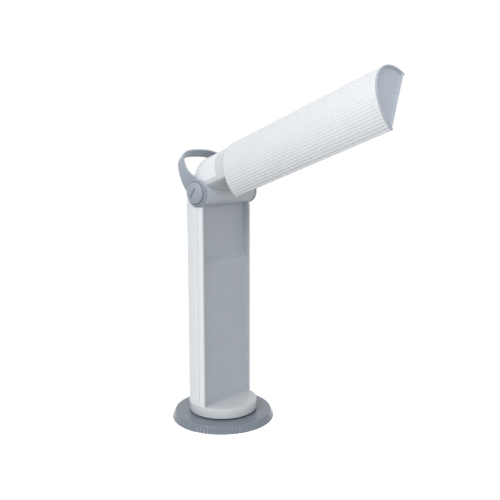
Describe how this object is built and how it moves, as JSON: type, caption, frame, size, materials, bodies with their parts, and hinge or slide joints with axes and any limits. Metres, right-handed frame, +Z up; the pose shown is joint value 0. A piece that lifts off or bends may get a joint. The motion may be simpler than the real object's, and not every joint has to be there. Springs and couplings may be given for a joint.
{
  "type": "folding portable desk lamp",
  "caption": "Folding portable lamp: round turntable base, recessed cylindrical column, tilting neck, turning ribbed half-round shade and swinging carrying handle.",
  "frame": {"origin": "centre of the base's underside", "axes": "+Z up, -Y to the lamp's front, where the column's recess faces, X along the hinge"},
  "size_m": [0.128, 0.3138, 0.4125],
  "materials": {
    "shade_white": "satin moulded white with long ribs",
    "shell_white": "satin moulded white",
    "panel_grey": "fine matt grey",
    "barrel_grey": "satin grey",
    "neck_grey": "satin light grey",
    "end_grey": "satin blue grey",
    "handle_grey": "satin dark blue grey",
    "cap_grey": "satin blue grey",
    "base_grey": "satin dark blue grey",
    "rubber_black": "matt",
    "bearing_black": "matt",
    "weight_steel": "zinc plated, dull",
    "steel": "plated",
    "brass": "turned",
    "copper": "enamelled wire",
    "board_green": "solder mask",
    "capacitor_blue": "sleeve",
    "holder_white": "heat-resistant",
    "reflector_silver": "bright",
    "lamp_glass": "white phosphor inside clear glass",
    "switch_black": "fine matt"
  },
  "bodies": {
    "base": {"base_cover": "base_grey", "base_weight": "weight_steel", "base_plate": "weight_steel", "base_pad": "rubber_black", "base_screws": "steel", "turntable_ring": "bearing_black"},
    "column": {"foot": "shell_white", "rear_shell": "shell_white", "front_frame": "shell_white", "front_panel": "panel_grey", "column_screws": "steel", "hinge_barrel": "barrel_grey", "hinge_shaft": "steel", "pivot_caps": "cap_grey", "friction_washers": "bearing_black", "turn_spindle": "steel", "hub_insert": "brass", "ballast_board": "board_green", "board_screws": "steel", "choke_core": "weight_steel", "choke_winding": "copper", "capacitor": "capacitor_blue", "terminal_block": "holder_white", "switch_body": "switch_black", "cord_gland": "switch_black"},
    "switch": {"switch_rocker": "switch_black"},
    "carry_handle": {"handle": "handle_grey"},
    "neck": {"hood": "shell_white", "neck_shell": "neck_grey", "neck_yoke": "barrel_grey", "neck_screws": "steel", "pivot_nipple": "steel", "nipple_nuts": "steel"},
    "shade": {"shade_shell": "shade_white", "far_end_cap": "end_grey", "near_end_plate": "neck_grey", "reflector": "reflector_silver", "reflector_clips": "holder_white", "lampholder": "holder_white", "lamp_base": "holder_white", "lamp_tubes": "lamp_glass", "tube_clip": "steel"}
  },
  "joints": [
    {"name": "base_turn", "type": "hinge", "parent": "base", "child": "column", "pos_m": [0, 0, 0.01], "axis": [0, 0, 1], "range_deg": [-170, 170]},
    {"name": "neck_tilt", "type": "hinge", "parent": "column", "child": "neck", "pos_m": [0, -0.0016, 0.2833], "axis": [1, 0, 0], "range_deg": [-10, 58]},
    {"name": "shade_twist", "type": "hinge", "parent": "neck", "child": "shade", "pos_m": [0, 0.00049, 0.28922], "axis": [0, -0.943, 0.3327], "range_deg": [-138.2, 41.8]},
    {"name": "handle_swing", "type": "hinge", "parent": "column", "child": "carry_handle", "pos_m": [0, -0.0016, 0.2833], "axis": [-1, 0, 0], "range_deg": [-38, 66]},
    {"name": "switch_rock", "type": "hinge", "parent": "column", "child": "switch", "pos_m": [0, 0.0406, 0.226], "axis": [1, 0, 0], "range_deg": [0, 12]}
  ]
}
